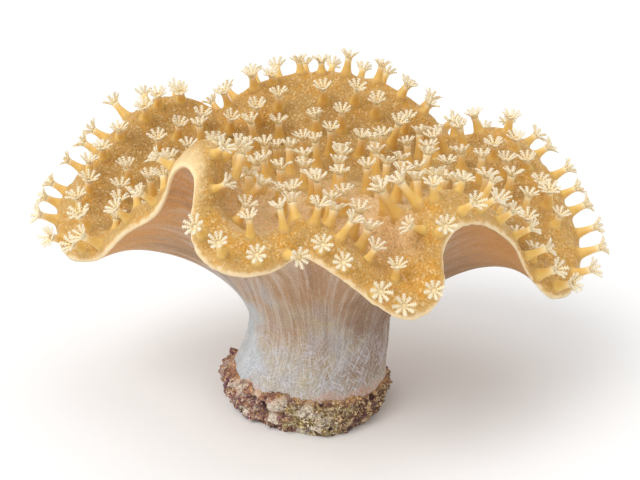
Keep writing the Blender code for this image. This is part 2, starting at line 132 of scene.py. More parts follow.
# ---------------- detail that is added here
SKIN_COLUMNS = 480
CAP_ROWS, LIP_ROWS, UNDERSIDE_ROWS, STALK_ROWS = 104, 16, 42, 32
UNDERSIDE_POWER = 1.15  # gathers the underside's rows near the lip
WAVES = 14  # in one field of random relief
SWELL = (1.0, 17.0, 3)  # height, length and seed of the soft swellings between the cap's polyps
SWELL_RAMP = (7, 14)  # where behind the lip they begin, and over how much they rise
WAVER, WAVER_RAMP = (0.22, 4.0, 8), (0, 3)  # the same for finer relief on the cap
EDGE_WAVER, EDGE_WAVER_WIDTH = (0.12, 3.2, 5), 1.6  # along the lip's very edge
MOUND_HEIGHT, MOUND_WIDTH = 0.5, 2.6  # of the skin at the foot of each polyp
NEAR_POLYP = 3.4  # how far a polyp warms the colour of the skin
WRINKLES = (41, 58, 73, 97, 121, 149)  # numbers of fine wrinkles round the stalk, laid over each other
WRINKLE_SEED, WRINKLE_HEIGHT, WRINKLE_LEAN, WRINKLE_BEND = 21, 0.07, 0.03, (1.6, 26.0)
WRINKLE_SUM = 1.8  # how far the sets reach together
FOLDS = (9, 14, 20)  # the same for its soft folds
FOLD_HEIGHT, FOLD_BEND = 0.3, (0.8, 40.0)
LIP_RAMP, ROCK_RAMP = (2, 26), (6, 16)  # where wrinkles and folds begin, under the lip and over the rock
# Fibres round the stalk: how they wind in radians per mm, the radius they lie on, and their stretch.
FIBRES = {"grain": (0, 20, 1), "slant_left": (-0.032, 22, 0.13), "slant_right": (0.028, 22, 0.13)}

STEM_MODEL = 6.0  # height of the modelled polyp's column, up to its rim
STEM_SIDES = 8
RIM_RADIUS = 1.08
TENTACLE_ROOT = 0.68  # where a tentacle starts, inside the rim
TENTACLES = 8
TENTACLE_LENGTH = 2.9
CROWN_HEIGHT = 2.0
SHORTEST_STEM = 2.2
CROWN_SEED = 4
CROWDS = {"lip_polyps": (0, 1), "slope_polyps": (2, 3), "dish_polyps": (4, 5, 6, 7)}  # and the rows in each
LIP_CROWD = 2  # rows that count as the lip's
FRONT_CROWNS, CROWNS = (0.8, 0.94), (1.02, 1.18)  # sizes of the crowns along the front lip, and elsewhere
TENTACLE_SIZES = (0.88, 1.08)
ROOT_STRAY, TIP_STRAY = 7, 12  # degrees by which a crown's tentacles differ
TENTACLE_SWAY = 0.12
LEAST_BEND = 1e-4
GIRTH, GIRTH_GAIN, TALL_STEM = 0.92, 0.1, 11  # a column's girth, and how much a tall one gains
PAST_END = 1.2  # how far past its height a polyp's crown may reach, as a share
SIDE_ALONG = 0.8  # beyond this a polyp leans too nearly along its side, which is then turned
FRONT_LIP = -18.0  # Y, from the cap's middle, in front of which the lip's crowns are the smaller ones
LIP_OPENING = ((26, 40), (48, 76))  # degrees from upright of a crown's tentacles, at their roots and tips
INNER_OPENING = ((26, 40), (38, 66))
STEM_PROFILE = [  # height and radius of the column's rings, from its skirt to the rim and the mouth
    (-0.3, 2.7), (0.0, 2.1), (0.6, 1.6), (1.8, 1.25), (3.4, 1.02),
    (4.6, 0.92), (5.4, 0.98), (6.0, RIM_RADIUS), (6.1, 0.8), (6.12, 0.4),
]
SKIRT_DEPTHS = (-0.25, 0.1)  # how far the two lowest rings lie from the skin

TENTACLE_RINGS = [  # distance along the tentacle, half width, half thickness
    (0.0, 0.4, 0.2), (0.6, 0.3, 0.19), (1.1, 0.2, 0.18), (1.38, 0.2, 0.18), (1.7, 0.18, 0.17),
    (1.98, 0.19, 0.17), (2.3, 0.17, 0.16), (2.56, 0.18, 0.15), (2.9, 0.12, 0.12),
]
BARB_SPANS = ((1.1, 1.38), (1.7, 1.98), (2.3, 2.56))
BARB_LENGTH = 0.36
BARB_SLANT = 0.24
BARB_TAPER = (0.85, 1, 0.8)

ROCK_COLUMNS = 300
ROCK_OUTER_ROWS = 48
TUCKED_ROWS = ((-2.5, 3.0), (-1.2, 1.2), (-0.3, 0.2))  # how far behind the rim, and how far below it
BASE_SHARES = (0.9, 0.7, 0.4)  # rings of the cut underside, each as a share of the one before
ROCK_TOP = 4.0  # level of the point that closes the mesh, under the coral's foot
RIM_WAVER, RIM_GRIT = (0.35, 6.0, 31), (0.15, 2.4, 32)  # height, length and seed, as above
RIM_MIDDLE = 23
RIM_TAPER = 0.22  # share of the rim's height over which the crust thins out onto the stalk
RIM_GAP = 0.12
RIM_ROUGHNESS = 0.2
NODULES, KNOBS, BUTTONS = (7.0, 41), (3.4, 42), (1.8, 44)  # length and seed of the crust's rounded lumps
NODULE_HEIGHT, KNOB_HEIGHT, BUTTON_HEIGHT, CRUST_SINK = 0.9, 0.65, 0.3, 1.6
NODULE_CREASE, KNOB_CREASE, KNOB_CREASE_SHARE = 0.16, 0.13, 0.8
CRUST_GRIT = (0.15, 1.1, 43)
PITS, PIT_SEED, PIT_MARGIN = 22, 12, 6
PIT_WIDTHS, PIT_DEPTH = (0.6, 1.25), 1.1
PIT_LIP, PIT_LIP_REACH, PIT_LIP_WIDTH = 0.45, 1.5, 0.5  # height of its raised lip, and in widths of the pit
PATCH_WAVER, BLOOM = (9, 5.0, 52), (1, 6.0, 51)
LEFT_FRONT, LEFT_BACK = (96, 14), (100, 20)  # bearings where the colours of the two sides begin
RIGHT_FRONT, RIGHT_BACK = (-82, 24), (-110, 20)

# Colours of the crust's grains in front, on the left and on the right.
FRONT_GRAINS = [
    (158, 146, 80), (212, 196, 152), (108, 94, 52), (176, 158, 88), (240, 228, 200), (132, 94, 66),
    (78, 44, 46),
]
LEFT_GRAINS = [
    (124, 74, 90), (168, 112, 112), (74, 40, 48), (192, 148, 98), (230, 202, 182), (144, 90, 114),
    (178, 138, 76),
]
RIGHT_GRAINS = [
    (184, 150, 104), (128, 88, 70), (222, 192, 136), (78, 48, 40), (228, 204, 160), (124, 80, 80),
    (162, 146, 82),
]


def smooth(x):
    x = np.clip(x, 0, 1)
    return x * x * (3 - 2 * x)


def ramp(value, start, span):
    """0 as far as the start, then rising to 1 over the span."""
    return smooth((value - start) / span)


def unit(vectors):
    return vectors / np.linalg.norm(vectors, axis=-1, keepdims=True)


def closed_curve(points):
    """Points at equal steps of length on a smooth closed curve through the given ones."""
    knots = np.array(points, float)
    ahead = np.roll(knots, -1, 0) - knots
    gap = np.linalg.norm(ahead, axis=1)[:, None]
    slope = ahead / gap
    gap_before, slope_before = np.roll(gap, 1, 0), np.roll(slope, 1, 0)
    tangent = (slope * gap_before + slope_before * gap) / (gap + gap_before)
    share = np.linspace(0, 1, SPAN_STEPS, endpoint=False)[None, :, None]
    start, end = knots[:, None], np.roll(knots, -1, 0)[:, None]
    leave, arrive = (tangent * gap)[:, None], (np.roll(tangent, -1, 0) * gap)[:, None]
    track = (
        start * (2 * share**3 - 3 * share**2 + 1)
        + end * (3 * share**2 - 2 * share**3)
        + leave * (share**3 - 2 * share**2 + share)
        + arrive * (share**3 - share**2)
    ).reshape(-1, 3)
    track = np.vstack([track, track[:1]])
    run = np.concatenate([[0], np.cumsum(np.linalg.norm(np.diff(track, axis=0), axis=1))])
    even = np.linspace(0, run[-1], EDGE_STEPS, endpoint=False)
    return np.stack([np.interp(even, run, track[:, axis]) for axis in range(3)], axis=1)


def calmed(track, spread):
    """A closed run of numbers smoothed over a share of the way round it."""
    count = len(track)
    waves = np.fft.rfftfreq(count, 1 / count)
    return np.fft.irfft(np.fft.rfft(track) * np.exp(-2 * (math.pi * spread * waves) ** 2), count)


EDGE_TRACK = closed_curve(LIP_EDGE)
EDGE_TURN = np.arange(EDGE_STEPS) / EDGE_STEPS * 2 * math.pi
EDGE_START = math.atan2(EDGE_TRACK[0, 1], EDGE_TRACK[0, 0])
EDGE_DRIFT = np.unwrap(np.arctan2(EDGE_TRACK[:, 1], EDGE_TRACK[:, 0])) - EDGE_START - EDGE_TURN
EDGE_REACH = np.hypot(EDGE_TRACK[:, 0], EDGE_TRACK[:, 1])
CALM_SPREADS = FOLD_CALM * np.linspace(0, 1, CALM_LEVELS) ** CALM_POWER
CALM_DRIFT = np.array([calmed(EDGE_DRIFT, spread) for spread in CALM_SPREADS])
CALM_REACH = np.array([calmed(EDGE_REACH, spread) for spread in CALM_SPREADS])
CALM_HEIGHT = np.array([calmed(EDGE_TRACK[:, 2], spread) for spread in CALM_SPREADS])
EDGE_AHEAD, EDGE_BEHIND = np.roll(EDGE_TRACK, -BEND_SPAN, 0), np.roll(EDGE_TRACK, BEND_SPAN, 0)
EDGE_BEND = np.linalg.norm(EDGE_AHEAD + EDGE_BEHIND - 2 * EDGE_TRACK, axis=1)
EDGE_CLIMB = np.abs(unit(EDGE_AHEAD - EDGE_BEHIND)[:, 2])


def sampled(table, calm, around):
    """A value between the rows (by calm, 0 to 1) and the columns (by around) of a table."""
    row = np.clip(calm + 0 * around, 0, 1) * (len(table) - 1)
    low = np.minimum(row.astype(int), len(table) - 2)
    place = (around % 1) * EDGE_STEPS
    left = place.astype(int) % EDGE_STEPS
    right = (left + 1) % EDGE_STEPS
    across, down = place - np.floor(place), row - low
    upper = table[low, left] * (1 - across) + table[low, right] * across
    lower = table[low + 1, left] * (1 - across) + table[low + 1, right] * across
    return upper * (1 - down) + lower * down


def even_angle(around):
    return EDGE_START + 2 * math.pi * around


def edge_at(around, calm):
    """(bearing, reach, height) of the lip's lower edge, at a share of the way round it."""
    bearing = even_angle(around) + sampled(CALM_DRIFT, calm, around)
    return bearing, sampled(CALM_REACH, calm, around), sampled(CALM_HEIGHT, calm, around)


def reach_at(around):
    return sampled(CALM_REACH, 0.0, around)


def lower_sheet(around, out, calmer=0.0):
    """The sheet that the cap's flesh lies on: out is 0 over the stalk and 1 at the lip's edge."""
    bearing, reach, height = edge_at(around, 1 - out + calmer)
    turn = even_angle(around) + (bearing - even_angle(around)) * smooth(out / TURN_SETTLED)
    lift = smooth((out - FLAT_SHARE) / (1 - FLAT_SHARE))
    z = SHEET_MIDDLE + (height - SHEET_MIDDLE) * lift
    return np.stack([reach * out * np.cos(turn), reach * out * np.sin(turn), z], axis=-1)


def sheet_normal(around, out):
    turn, step = SHEET_STEP
    along = lower_sheet(around + turn, out, LEAN_CALM) - lower_sheet(around - turn, out, LEAN_CALM)
    outward = lower_sheet(around, out + step, LEAN_CALM) - lower_sheet(around, out - step, LEAN_CALM)
    return unit(np.cross(outward, along))


def towards(around, side):
    """1 towards one side of the cap, falling to 0 on the far side."""
    bearing, power = side
    return ((1 + np.cos(even_angle(around) - math.radians(bearing))) / 2) ** power


def dish(around, inward):
    """How far the cap is hollowed behind its lip."""
    start = smooth((inward - DISH_START) / DISH_SLOPE)
    end = smooth((inward / reach_at(around) - DISH_END) / DISH_RETURN)
    share = 1 - DISH_LESS_RIGHT * towards(around, RIGHT_SIDE)
    share -= DISH_LESS_FRONT * towards(around, FRONT_SIDE)
    return DISH_DEPTH * share * start * (1 - end)


def cap_skin(around, inward):
    """The cap's upper skin, inward mm from the lip's edge towards the middle."""
    out = 1 - inward / reach_at(around)
    roll = 1 - np.clip(inward / LIP_DEPTH, 0, 1)
    crest = LIP_RISE * np.exp(-(((inward - LIP_DEPTH) / LIP_CREST_WIDTH) ** 2))
    thick = (CAP_THICKNESS + crest) * np.sqrt(1 - roll**2)
    upright = smooth(inward / UPRIGHT_DEPTH)[..., None]
    lean = unit(sheet_normal(around, out) * (1 - upright) + UP * upright)
    skin = lower_sheet(around, out) + lean * thick[..., None]
    return skin - UP * dish(around, inward)[..., None]


def skin_normal(around, inward):
    turn, step = SKIN_STEP
    along = cap_skin(around + turn, inward) - cap_skin(around - turn, inward)
    outward = cap_skin(around, inward - step) - cap_skin(around, inward + step)
    return unit(np.cross(outward, along))


def stalk_at(angle, z):
    """The stalk's skin: a neck that spreads into the foot below it."""
    down = np.clip((NECK_HEIGHT - z) / (NECK_HEIGHT - FOOT_BOTTOM), 0, 1)
    tuck = np.clip(1 - (z - FOOT_BOTTOM) / FOOT_ROUND_HEIGHT, 0, 1) ** 2
    radius = NECK_RADIUS + (FOOT_RADIUS - NECK_RADIUS) * down**SPREAD_POWER - FOOT_ROUND * tuck
    shift = -CAP_AXIS[0] * smooth(down)
    return np.stack([shift + radius * np.cos(angle), radius * np.sin(angle), z + 0 * angle], axis=-1)


def underside(around, inward):
    """From the lip's edge (0) under the cap to the neck (1)."""
    right, left = towards(around, RIGHT_SIDE), towards(around, LEFT_SIDE)
    start = lower_sheet(around, np.ones_like(around))
    leave = lower_sheet(around, LEAVE_SHARE + LEAVE_SHARE_RIGHT * right)
    leave[..., 2] += LEAVE_LIFT_RIGHT * right + LEAVE_LIFT_LEFT * left - LEAVE_DROP
    neck = stalk_at(even_angle(around), np.full_like(around, NECK_HEIGHT))
    arrive = neck.copy()
    arrive[..., 2] += FLARE - FLARE_LESS_RIGHT * right - FLARE_LESS_LEFT * left
    rest = 1 - inward
    pull = 3 * leave * inward * rest**2 + 3 * arrive * inward**2 * rest
    return start * rest**3 + pull + neck * inward**3


def column_places(columns):
    """Shares of the way round for the columns of the mesh, closer together where the lip bends."""
    weight = calmed(1 + BEND_PULL * np.minimum(EDGE_BEND, BEND_MOST), COLUMN_CALM)
    run = np.concatenate([[0], np.cumsum(weight)])
    places = np.arange(columns) / columns * run[-1]
    return np.interp(places, run, np.arange(EDGE_STEPS + 1) / EDGE_STEPS)


def polyp_places():
    """(base, skin's normal, direction, height, turn, row) of every polyp."""
    dice = random.Random(POLYP_SEED)
    fine = np.arange(ROW_STEPS) / ROW_STEPS
    placed = []
    taken = []
    for number, (share, spacing, shortest, tallest, rise) in enumerate(POLYP_ROWS):
        row = cap_skin(fine, share * reach_at(fine))
        run = np.cumsum(np.linalg.norm(np.roll(row, -1, 0) - row, axis=1))
        count = round(run[-1] / spacing)
        off_row = ROW_STRAY * min(1, share / EDGE_ROW)
        for step in range(count):
            along = (step + 0.5 * (number % 2) + dice.uniform(-POLYP_STRAY, POLYP_STRAY)) / count
            around = np.array([np.interp(along % 1 * run[-1], run, fine)])
            inward = (share + dice.uniform(-off_row, off_row)) * reach_at(around)
            edge = int(around[0] * EDGE_STEPS)
            bare = share < BARE_FOLD and EDGE_BEND[edge] > BARE_FOLD_BEND
            bare |= share < BARE_FLANK and EDGE_CLIMB[edge] > BARE_FLANK_CLIMB
            base = cap_skin(around, inward)[0]
            sway = [dice.uniform(-POLYP_SWAY, POLYP_SWAY), dice.uniform(-POLYP_SWAY, POLYP_SWAY), 0]
            normal = skin_normal(around, inward)[0]
            direction = unit(normal + rise * UP + sway)
            height = dice.uniform(shortest, tallest)
            turn = dice.uniform(0, 2 * math.pi)
            if bare:
                continue
            beads = base + direction * height * BEAD_SHARES
            if taken:
                apart = np.linalg.norm(beads[:, None, None] - np.array(taken), axis=-1)
                if (apart < BEAD_ROOM[:, None, None] + BEAD_ROOM).any():
                    continue
            taken.append(beads)
            base = base + normal * swell(base, inward)[0]
            placed.append((base, normal, direction, height, turn, number))
    return placed


# ---------------- relief
def wander(points, length, seed):
    """A smooth random value in space, from about -1 to 1, that changes over the given length."""
    dice = np.random.default_rng(seed)
    heading = unit(dice.normal(size=(WAVES, 3))) * 2 * math.pi / length
    heading *= dice.uniform(0.7, 1.4, (WAVES, 1))
    return np.sin(points @ heading.T + dice.uniform(0, 2 * math.pi, WAVES)).sum(-1) / WAVES**0.5


def rough(points, kind):
    height, length, seed = kind
    return height * wander(points, length, seed)


def swell(points, inward):
    """Soft swellings of the cap between its polyps."""
    return ramp(inward, *SWELL_RAMP) * rough(points, SWELL)


def grid_normals(grid):
    """Normals of a grid of points whose columns close into a ring."""
    along = np.roll(grid, -1, 1) - np.roll(grid, 1, 1)
    down = np.gradient(grid, axis=0)
    return unit(np.cross(down, along))


def in_place(points):
    """Moves points from millimetres off the cap's axis to the part's own place, in metres."""
    return (points + np.array([*CAP_AXIS, 0.0])) * MM


def face_outwards():
    """Turns all faces of the active piece outwards, and leaves edit mode."""
    bpy.ops.object.mode_set(mode="EDIT")
    bpy.ops.mesh.select_all(action="SELECT")
    bpy.ops.mesh.normals_make_consistent(inside=False)
    bpy.ops.object.mode_set(mode="OBJECT")


def pressed(name, rows, top, bottom):
    """A UV sphere whose poles and parallels are moved to the given points, in millimetres."""
    count, columns = rows.shape[:2]
    bpy.ops.object.select_all(action="DESELECT")
    bpy.ops.mesh.primitive_uv_sphere_add(segments=columns, ring_count=count + 1, radius=1.0)
    piece = bpy.context.object
    piece.name = piece.data.name = name
    ball = np.empty(len(piece.data.vertices) * 3)
    piece.data.vertices.foreach_get("co", ball)
    ball = ball.reshape(-1, 3)
    row = np.round(np.arccos(np.clip(ball[:, 2], -1, 1)) / math.pi * (count + 1)).astype(int) - 1
    column = np.round(np.arctan2(ball[:, 1], ball[:, 0]) / (2 * math.pi) * columns).astype(int) % columns
    spots = rows[np.clip(row, 0, count - 1), column]
    spots[row < 0] = top
    spots[row >= count] = bottom
    piece.data.vertices.foreach_set("co", in_place(spots).ravel())
    piece.data.update()
    face_outwards()
    bpy.ops.object.shade_smooth()
    return piece, np.clip(row, 0, count - 1), column


def note(piece, name, values):
    """Keeps a number, or a vector, for each vertex of the piece, for its material to read."""
    kind, field = ("FLOAT", "value") if values.ndim == 1 else ("FLOAT_VECTOR", "vector")
    layer = piece.data.attributes.new(name, kind, "POINT")
    layer.data.foreach_set(field, values.astype(np.float32).ravel())


# ---------------- flesh
def make_flesh(polyps):
    """The cap's skin, lip and underside and the stalk, row by row from the cap's middle to the foot."""
    around = column_places(SKIN_COLUMNS)
    flat = np.ones(SKIN_COLUMNS)
    inner = reach_at(around) - LIP_DEPTH
    inwards = [LIP_DEPTH + inner * (1 - (step + 1) / CAP_ROWS) for step in range(CAP_ROWS)]
    for step in range(LIP_ROWS):
        turn = math.pi / 2 * (1 - (step + 1) / (LIP_ROWS + 1))
        inwards.append(flat * LIP_DEPTH * (1 - math.cos(turn)))
    rows = [cap_skin(around, inward) for inward in inwards]
    rows.append(lower_sheet(around, flat))
    for step in range(UNDERSIDE_ROWS):
        rows.append(underside(around, ((step + 1) / UNDERSIDE_ROWS) ** UNDERSIDE_POWER))
    for step in range(STALK_ROWS):
        height = NECK_HEIGHT + (FOOT_BOTTOM - NECK_HEIGHT) * (step + 1) / STALK_ROWS
        rows.append(stalk_at(even_angle(around), flat * height))
    grid = np.array(rows)
    inwards = np.array(inwards + [flat * 0] * (len(rows) - len(inwards)))
    normals = grid_normals(grid)
    steps = np.linalg.norm(np.diff(grid, axis=0), axis=-1)
    run = np.concatenate([np.zeros((1, SKIN_COLUMNS)), np.cumsum(steps, axis=0)])
    run = run[CAP_ROWS + LIP_ROWS] - run  # from the lip's edge, and less than 0 beneath it

    nearest = np.full(grid.shape[:2], np.inf)
    for polyp in polyps:
        np.minimum(nearest, ((grid - polyp[0]) ** 2).sum(-1), out=nearest)
    mounds = MOUND_HEIGHT * np.exp(-nearest / MOUND_WIDTH**2)
    waver = rough(grid, WAVER) * ramp(inwards, *WAVER_RAMP)
    angle = np.broadcast_to(even_angle(around), grid.shape[:2])
    lines, folds = np.zeros(grid.shape[:2]), np.zeros(grid.shape[:2])
    dice = random.Random(WRINKLE_SEED)
    for count in WRINKLES:
        lean = dice.uniform(-WRINKLE_LEAN, WRINKLE_LEAN)
        phase = dice.uniform(0, 2 * math.pi)
        bend = rough(grid, (*WRINKLE_BEND, count))
        lines += np.sin(count * angle + phase + lean * count * grid[..., 2] / 10 + bend)
    for count in FOLDS:
        bend = rough(grid, (*FOLD_BEND, count))
        folds += np.sin(count * angle + dice.uniform(0, 2 * math.pi) + bend)
    fade = ramp(-run, *LIP_RAMP) * ramp(grid[..., 2], *ROCK_RAMP)
    creases = (WRINKLE_HEIGHT * lines + FOLD_HEIGHT * folds) * fade / WRINKLE_SUM
    relief = np.where(inwards > 0, swell(grid, inwards) + mounds + waver, creases)
    relief += rough(grid, EDGE_WAVER) * np.exp(-((run / EDGE_WAVER_WIDTH) ** 2))
    grid = grid + normals * relief[..., None]

    flesh, row, column = pressed("colony_flesh", grid, grid[0].mean(0), grid[-1].mean(0))
    turn, run = angle[row, column], run[row, column]
    note(flesh, "from_edge", run)
    note(flesh, "near_polyp", np.exp(-nearest[row, column] / NEAR_POLYP**2))
    for name, (winding, radius, stretch) in FIBRES.items():
        lean = turn + winding * run
        strand = [np.cos(lean) * radius, np.sin(lean) * radius, run * stretch]
        note(flesh, name, np.stack(strand, axis=-1))
    return flesh


# ---------------- polyps
def pick(piece, wanted):
    """Selects the faces of the piece, in edit mode, whose centre and normal pass the test."""
    bm = bmesh.from_edit_mesh(piece.data)
    for face in bm.faces:
        face.select_set(False)
    for face in bm.faces:
        if wanted(face.calc_center_median() / MM, face.normal):
            face.select_set(True)
    bm.select_flush_mode()
    bmesh.update_edit_mesh(piece.data)


def extrude(*way):
    bpy.ops.mesh.extrude_region_move(TRANSFORM_OT_translate={"value": [part * MM for part in way]})


def resize(scale, *middle):
    bpy.ops.transform.resize(value=scale, center_override=[part * MM for part in middle])


def model_stem():
    """The polyp's column, from its skirt to the mouth, turned up ring by ring."""
    height, radius = STEM_PROFILE[0]
    bpy.ops.object.select_all(action="DESELECT")
    bpy.ops.mesh.primitive_circle_add(
        vertices=STEM_SIDES, radius=radius * MM, fill_type="NGON", location=(0, 0, height * MM)
    )
    stem = bpy.context.object
    bpy.ops.object.transform_apply(location=True, rotation=True, scale=True)
    bpy.ops.object.mode_set(mode="EDIT")
    bpy.ops.mesh.select_mode(type="FACE")
    bpy.ops.mesh.select_all(action="SELECT")
    for above, wider in STEM_PROFILE[1:]:
        extrude(0, 0, above - height)
        resize((wider / radius, wider / radius, 1), 0, 0, above)
        height, radius = above, wider
    face_outwards()
    return stem


def model_tentacle():
    """One feathered tentacle, lying outwards along +X from the rim, with barbs on its two sides."""
    (start, wide, thick), *rings = TENTACLE_RINGS
    first = rings[0][0]
    start += TENTACLE_ROOT
    bpy.ops.object.select_all(action="DESELECT")
    bpy.ops.mesh.primitive_cube_add(
        size=1.0,
        location=((start + first / 2) * MM, 0, STEM_MODEL * MM),
        scale=(first * MM, 2 * wide * MM, 2 * thick * MM),
    )
    tentacle = bpy.context.object
    bpy.ops.object.transform_apply(location=True, rotation=True, scale=True)
    bpy.ops.object.mode_set(mode="EDIT")
    bpy.ops.mesh.select_mode(type="FACE")
    pick(tentacle, lambda centre, normal: normal.x > 0.9)
    reached = first
    for along, wider, thicker in rings:
        if along > reached:
            extrude(along - reached, 0, 0)
        resize((1, wider / wide, thicker / thick), start + along, 0, STEM_MODEL)
        reached, wide, thick = along, wider, thicker
    for low, high in BARB_SPANS:
        for side in (-1, 1):
            pick(
                tentacle,
                lambda centre, normal: normal.y * side > 0.7
                and start + low < centre.x < start + high,
            )
            extrude(BARB_SLANT, side * BARB_LENGTH, 0)
            resize(BARB_TAPER, start + (low + high) / 2 + BARB_SLANT, 0, STEM_MODEL)
    bpy.ops.mesh.select_all(action="SELECT")
    bpy.ops.mesh.normals_make_consistent(inside=False)
    bpy.ops.mesh.spin(
        steps=TENTACLES - 1,
        dupli=True,
        angle=2 * math.pi * (TENTACLES - 1) / TENTACLES,
        center=(0, 0, STEM_MODEL * MM),
        axis=(0, 0, 1),
    )
    bpy.ops.object.mode_set(mode="OBJECT")
    return tentacle


def model_polyp():
    """The polyp that all others are copied from: its column, and its tentacles spread flat."""
    stem, tentacles = model_stem(), model_tentacle()
    note(stem, "rise", points_of(stem)[:, 2] / STEM_MODEL)
    spread = np.hypot(*points_of(tentacles)[:, :2].T) - TENTACLE_ROOT
    note(tentacles, "rise", 1 + spread / TENTACLE_LENGTH)
    return joined("polyp_model", [stem, tentacles])


def points_of(piece):
    points = np.empty(len(piece.data.vertices) * 3)
    piece.data.vertices.foreach_get("co", points)
    return points.reshape(-1, 3) / MM


def joined(name, pieces):
    bpy.ops.object.select_all(action="DESELECT")
    for piece in pieces:
        piece.select_set(True)
    bpy.context.view_layer.objects.active = pieces[0]
    bpy.ops.object.join()
    whole = bpy.context.object
    whole.name = whole.data.name = name
    bpy.ops.object.shade_smooth()
    return whole


def turned(x, y, angle):
    return x * np.cos(angle) - y * np.sin(angle), x * np.sin(angle) + y * np.cos(angle)


def grow_polyp(model, rise, place, skin, dice):
    """A copy of the model with its own mesh, stretched, opened and bent onto its place on the skin."""
    base, normal, direction, height, turn, row = place
    polyp = bpy.data.objects.new("polyp", model.data.copy())
    bpy.context.scene.collection.objects.link(polyp)
    points = points_of(model)
    on_lip = row < LIP_CROWD
    size = dice.uniform(*FRONT_CROWNS if on_lip and base[1] < FRONT_LIP else CROWNS)
    stem_height = max(height - CROWN_HEIGHT * size, SHORTEST_STEM)
    crown = rise > 1.0 + 1e-5  # the tentacles and the mouth between them

    # The crown: from lying flat to a cup, each tentacle by its own angles.
    bearing = np.arctan2(points[:, 1], points[:, 0])
    limb = np.round(bearing / (2 * math.pi) * TENTACLES).astype(int) % TENTACLES
    heading = limb * 2 * math.pi / TENTACLES
    ahead, aside = turned(points[:, 0], points[:, 1], -heading)
    above = points[:, 2] - STEM_MODEL
    roots, tips = LIP_OPENING if on_lip else INNER_OPENING
    opening = np.array([dice.uniform(*roots), dice.uniform(*tips)])
    stray = [[dice.uniform(-most, most) for most in (ROOT_STRAY, TIP_STRAY)] for _ in range(TENTACLES)]
    first, last = np.radians(opening + stray).T[:, limb]
    sizes = np.array([dice.uniform(*TENTACLE_SIZES) for _ in range(TENTACLES)])[limb] * size
    along = np.maximum(ahead - TENTACLE_ROOT, 0) * sizes
    bend = (last - first) / (TENTACLE_LENGTH * sizes)
    bend = np.where(np.abs(bend) < LEAST_BEND, LEAST_BEND, bend)
    lean = first + bend * along
    out = TENTACLE_ROOT + (np.cos(first) - np.cos(lean)) / bend - np.cos(lean) * above
    lift = (np.sin(lean) - np.sin(first)) / bend + np.sin(lean) * above
    sway = np.array([dice.uniform(-TENTACLE_SWAY, TENTACLE_SWAY) for _ in range(TENTACLES)])[limb] * along
    crown_x, crown_y = turned(out, aside * size + sway, heading)
    shaped = np.stack([crown_x, crown_y, stem_height + lift], axis=-1)
    stretched = points.copy()
    stretched[:, 2] = np.where(points[:, 2] > 0, points[:, 2] / STEM_MODEL * stem_height, points[:, 2])
    stretched[:, :2] *= size * (GIRTH + GIRTH_GAIN * min(1.0, height / TALL_STEM))
    shaped = np.where(crown[:, None], shaped, stretched)

    # The column leaves the skin squarely and bends over to its own direction.
    middle = base + unit(2 * normal + direction) * height * 0.5
    end = base + direction * height
    share = np.clip(shaped[:, 2:3] / height, 0, PAST_END)
    spine = base * (1 - share) ** 2 + 2 * middle * share * (1 - share) + end * share**2
    tangent = unit((middle - base) * (1 - share) + (end - middle) * share)
    below = np.minimum(shaped[:, 2:3], 0)
    side = np.array([math.cos(turn), math.sin(turn), 0.0])
    if abs(direction @ side) > SIDE_ALONG:
        side = np.array([-side[1], side[0], 0.0])
    across = unit(np.cross(side, tangent))
    other = np.cross(tangent, across)
    grown = in_place(spine + tangent * below + across * shaped[:, :1] + other * shaped[:, 1:2])
    for ring, depth in zip(STEM_PROFILE, SKIRT_DEPTHS):
        for index in np.flatnonzero(~crown & (np.abs(points[:, 2] - ring[0]) < 0.01)):
            spot, outward, _, _ = skin.find_nearest(Vector(grown[index]))
            grown[index] = spot + outward * depth * MM
    polyp.data.vertices.foreach_set("co", grown.ravel())
    polyp.data.update()
    note(polyp, "tint", np.full(len(points), dice.random()))
    return polyp


def make_polyps(places, flesh):
    model = model_polyp()
    skin = BVHTree.FromObject(flesh, bpy.context.evaluated_depsgraph_get())
    rise = np.empty(len(model.data.vertices), np.float32)
    model.data.attributes["rise"].data.foreach_get("value", rise)
    dice = random.Random(CROWN_SEED)
    crowds = []
    for name, rows in CROWDS.items():
        grown = [grow_polyp(model, rise, place, skin, dice) for place in places if place[5] in rows]
        crowds.append(joined(name, grown))
        face_outwards()
    bpy.data.objects.remove(model)
    return crowds


# ---------------- rock
def rock_lumps(angle, height):
    dice = random.Random(ROCK_SEED)
    lumps = np.zeros_like(angle)
    for waves in ROCK_WAVES:
        phase, climb = dice.uniform(0, 2 * math.pi), dice.uniform(-0.5, 0.5)
        lumps = lumps + np.sin(waves * angle + phase + climb * height) / waves**0.5
    return lumps


def bump_at(angle, bump):
    bearing, width, height = bump
    return height * np.exp(-(((angle - math.radians(bearing)) / width) ** 2))


